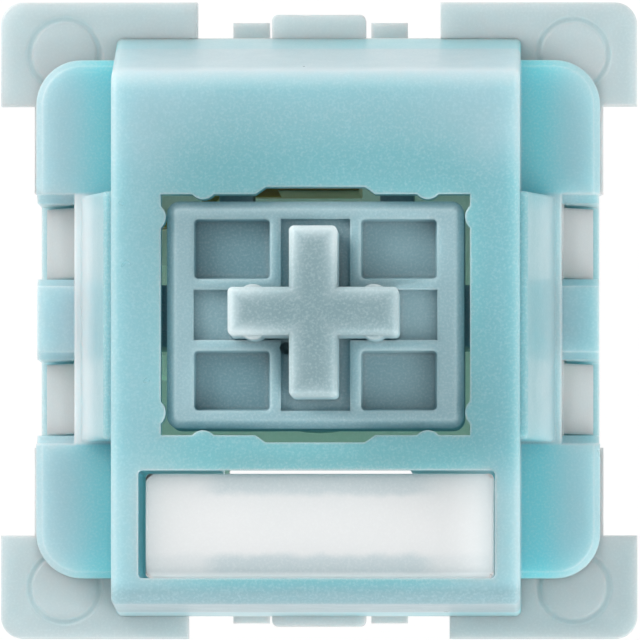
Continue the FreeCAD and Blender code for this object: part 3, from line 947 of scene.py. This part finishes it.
@dataclass
class ReturnSpring:
    """Wire coil with a closed turn at each end."""

    wire: float = 0.25
    radius: float = 1.975
    foot: float = 1.0
    head: float = 10.2
    turns: int = 11
    closed_turns: int = 1
    travel: float = 4.0
    steps: int = 36
    sides: int = 10

    def build(self) -> None:
        """Makes the coil."""
        piece = finish_piece(self.wind(), "return_spring", STEEL.material(), Body.HOUSING,
                             "spring")
        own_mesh(piece)

    def wind(self) -> bmesh.types.BMesh:
        """Winds the wire in three stages: closed, open and closed.

        Returns:
            The wound wire with both ends capped.
        """
        mesh = bmesh.new()
        half = self.wire / 2.0
        start = Matrix.Translation((self.radius * MM, 0.0, (self.foot + half) * MM))
        bmesh.ops.create_circle(mesh, segments=self.sides, radius=half * MM,
                                matrix=start @ Matrix.Rotation(math.pi / 2.0, 4, "X"))
        last = list(mesh.verts) + list(mesh.edges)
        bmesh.ops.contextual_create(mesh, geom=list(mesh.edges))
        closed_rise = self.wire * self.closed_turns
        open_turns = self.turns - 2 * self.closed_turns
        open_rise = (self.head - self.foot - self.wire - 2.0 * closed_rise) / open_turns
        closed = (self.closed_turns, self.wire)
        for turns, climb in (closed, (open_turns, open_rise), closed):
            wound = bmesh.ops.spin(mesh, geom=last, cent=(0.0, 0.0, 0.0), axis=(0.0, 0.0, 1.0),
                                   dvec=(0.0, 0.0, climb * MM / self.steps),
                                   angle=2.0 * math.pi * turns, steps=self.steps * turns)
            last = [g for g in wound["geom_last"] if not isinstance(g, bmesh.types.BMFace)]
        ring = [g for g in last if isinstance(g, bmesh.types.BMEdge)]
        bmesh.ops.contextual_create(mesh, geom=ring)
        return mesh


@dataclass(frozen=True)
class SoftLamp:
    """Square soft lamp aimed at the switch, with its place and side in metres."""

    name: str
    place: XYZ
    side: float
    watts: float

    def hang(self) -> None:
        """Makes the lamp and turns it towards the switch."""
        lamp = bpy.data.lights.new(self.name, "AREA")
        lamp.shape = "SQUARE"
        lamp.size = self.side
        lamp.energy = self.watts
        held = bpy.data.objects.new(self.name, lamp)
        held.location = self.place
        held.rotation_euler = Vector(self.place).to_track_quat("Z", "Y").to_euler()
        bpy.context.scene.collection.objects.link(held)
        log.info("%s of %.2f W", self.name, self.watts)


@dataclass
class Studio:
    """Pale floor, soft lamps, white surroundings and the camera above the switch."""

    floor_z: float = -3.3
    floor_radius: float = 1.5
    floor_sides: int = 96
    floor_grey: float = 0.9
    floor_white: float = 1.02
    floor_glow: float = 0.93
    surround: float = 0.85
    key: SoftLamp = SoftLamp("key_lamp", (-0.055, 0.038, 0.052), 0.045, 0.035)
    fill: SoftLamp = SoftLamp("fill_lamp", (0.30, -0.26, 0.24), 0.40, 1.2)
    aim: XYZ = (0.025, 0.012, 6.0)
    camera_lean: XYZ = (0.0159, -0.0256, 1.0)
    camera_distance: float = 0.45
    field: float = 15.686
    sensor: float = 36.0

    def build(self) -> None:
        """Sets up the floor, the surroundings, the lamps and the camera."""
        self.make_floor()
        self.make_world()
        self.key.hang()
        self.fill.hang()
        self.make_camera()
        view = bpy.context.scene.view_settings
        view.view_transform = "Standard"

    @staticmethod
    def is_seen(board: NodeBoard) -> Wire:
        """Value that is 1 for rays that carry what the eye sees.

        Args:
            board: The tree that the value goes into.

        Returns:
            The value.
        """
        eye = board.node("ShaderNodeLightPath", {}, {}, "Is Camera Ray")
        gloss = board.node("ShaderNodeLightPath", {}, {}, "Is Glossy Ray")
        clear = board.node("ShaderNodeLightPath", {}, {}, "Is Transmission Ray")
        return (eye + gloss + clear).clamped()

    def make_floor(self) -> None:
        """Round pale floor that shows white and keeps a soft shadow."""
        mesh = bmesh.new()
        bmesh.ops.create_circle(mesh, cap_ends=True, segments=self.floor_sides,
                                radius=self.floor_radius,
                                matrix=Matrix.Translation((0.0, 0.0, self.floor_z * MM)))
        data = bpy.data.meshes.new("floor")
        mesh.to_mesh(data)
        mesh.free()
        finish = bpy.data.materials.new("floor_white")
        finish.use_nodes = True
        board = NodeBoard(finish.node_tree)
        grey = (self.floor_grey, self.floor_grey, self.floor_grey, 1.0)
        matte = board.node("ShaderNodeBsdfDiffuse", {}, {"Color": grey})
        glow = board.node("ShaderNodeEmission", {},
                          {"Color": (*WHITE, 1.0), "Strength": self.floor_white})
        mixed = board.node("ShaderNodeMixShader", {},
                           {0: self.is_seen(board) * self.floor_glow, 1: matte, 2: glow})
        board.node("ShaderNodeOutputMaterial", {}, {"Surface": mixed})
        data.materials.append(finish)
        floor = bpy.data.objects.new("floor", data)
        bpy.context.scene.collection.objects.link(floor)
        log.info("floor at %.1f mm", self.floor_z)

    def make_world(self) -> None:
        """Even surroundings that look white and light the switch softly."""
        world = bpy.data.worlds.new("surroundings")
        world.use_nodes = True
        board = NodeBoard(world.node_tree)
        strength = self.is_seen(board) * (1.0 - self.surround) + self.surround
        light = board.node("ShaderNodeBackground", {},
                           {"Color": (*WHITE, 1.0), "Strength": strength})
        board.node("ShaderNodeOutputWorld", {}, {"Surface": light})
        bpy.context.scene.world = world

    def make_camera(self) -> None:
        """Camera almost straight above, a little towards the light guide."""
        lens = bpy.data.cameras.new("camera")
        lens.sensor_width = self.sensor
        lens.lens = self.sensor * self.camera_distance / (self.field * MM)
        held = bpy.data.objects.new("camera", lens)
        back = Vector(self.camera_lean).normalized()
        held.location = Vector(self.aim) * MM + back * self.camera_distance
        right = Vector((0.0, 1.0, 0.0)).cross(back).normalized()
        held.rotation_euler = Matrix((right, back.cross(right), back)).transposed().to_euler()
        bpy.context.scene.collection.objects.link(held)
        bpy.context.scene.camera = held
        log.info("camera %.2f m away", self.camera_distance)


def main() -> None:
    """Builds the switch and its studio."""
    for part in (Housing(), LightGuide(), Slider(), Contacts(), ReturnSpring(), Studio()):
        part.build()


if __name__ == "__main__":
    main()
